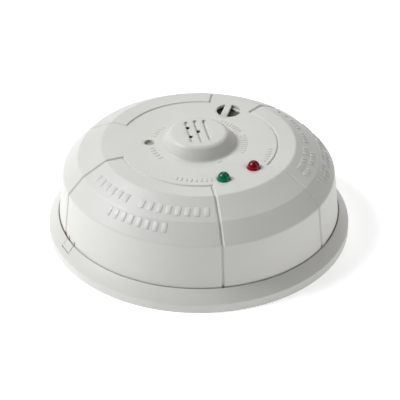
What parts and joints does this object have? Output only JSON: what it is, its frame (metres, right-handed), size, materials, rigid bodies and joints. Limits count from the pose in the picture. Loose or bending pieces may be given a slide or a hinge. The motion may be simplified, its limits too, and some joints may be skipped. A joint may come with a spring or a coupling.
{
  "type": "carbon monoxide detector",
  "caption": "Round ceiling or wall carbon monoxide detector: a faceted white head that twists off a flanged mounting base, with gas inlet dome, horn port, indicator lights and test button.",
  "frame": {"origin": "centre of the mounting base's back face, which lies against the ceiling or wall", "axes": "+Z out of the front of the detector, away from the wall; -Y towards the two indicator lights, so that the test button is on the -X side"},
  "size_m": [0.135, 0.135, 0.0486],
  "materials": {
    "base_plastic": "fine satin texture",
    "cover_plastic": "fine satin texture",
    "housing_plastic": "satin",
    "board": "solder mask",
    "can_metal": "bright nickel plate",
    "dark_plastic": "satin",
    "gold_pins": "satin",
    "black_foam": "closed-cell foam",
    "ceramic_white": "fired ceramic with silvered face",
    "green_lens": "clear tinted",
    "red_lens": "clear tinted",
    "tinned_wire": "tinned spring metal",
    "button_grey": "satin",
    "plunger_white": "satin",
    "battery_wrap": "plain wrap",
    "copper_wire": "enamelled copper",
    "capacitor_sleeve": "sleeve",
    "chip_ceramic": "ceramic chips",
    "screw_steel": "zinc plate",
    "label_film": "blank film"
  },
  "bodies": {
    "base": {"mounting_base": "base_plastic"},
    "head": {"front_cover": "cover_plastic", "rear_housing": "housing_plastic", "circuit_board": "board", "co_sensor": "can_metal", "radio_shield": "can_metal", "crystal": "can_metal", "door_pin": "can_metal", "sensor_cap": "dark_plastic", "horn_housing": "dark_plastic", "test_switch": "dark_plastic", "tamper_switch": "dark_plastic", "microcontroller": "dark_plastic", "sensor_pins": "gold_pins", "horn_contacts": "gold_pins", "horn_disc": "gold_pins", "sensor_gasket": "black_foam", "horn_gasket": "black_foam", "horn_ceramic": "ceramic_white", "green_lens": "green_lens", "green_led": "green_lens", "red_lens": "red_lens", "red_led": "red_lens", "led_leads": "tinned_wire", "battery_contact_plus": "tinned_wire", "battery_contact_minus": "tinned_wire", "battery": "battery_wrap", "antenna": "copper_wire", "capacitors": "capacitor_sleeve", "chip_parts": "chip_ceramic", "cover_screws": "screw_steel", "board_screws": "screw_steel", "rating_label": "label_film"},
    "tab": {"release_tab": "base_plastic"},
    "button": {"test_button": "button_grey"},
    "plunger": {"tamper_plunger": "plunger_white"},
    "door": {"battery_door": "housing_plastic"}
  },
  "joints": [
    {"name": "head_twist", "type": "hinge", "parent": "base", "child": "head", "pos_m": [0, 0, 0], "axis": [0, 0, 1], "range_deg": [0, 20]},
    {"name": "tab_flex", "type": "hinge", "parent": "base", "child": "tab", "pos_m": [-0.05781, -0.02971, 0.00653], "axis": [0.4571, -0.8894, 0], "range_deg": [0, 10], "stiffness_Nm_per_rad": 0.02},
    {"name": "button_press", "type": "slide", "parent": "head", "child": "button", "axis": [0, 0, -1], "range_m": [0, 0.0008], "stiffness_N_per_m": 800},
    {"name": "plunger_slide", "type": "slide", "parent": "head", "child": "plunger", "axis": [0, 0, -1], "range_m": [0, 0.0015]},
    {"name": "door_swing", "type": "hinge", "parent": "head", "child": "door", "pos_m": [0, -0.0122, 0.0038], "axis": [-1, 0, 0], "range_deg": [0, 95]}
  ],
  "couplings": [
    {"joint": "plunger_slide", "follows": "head_twist", "m_per_rad": 0.00429}
  ]
}
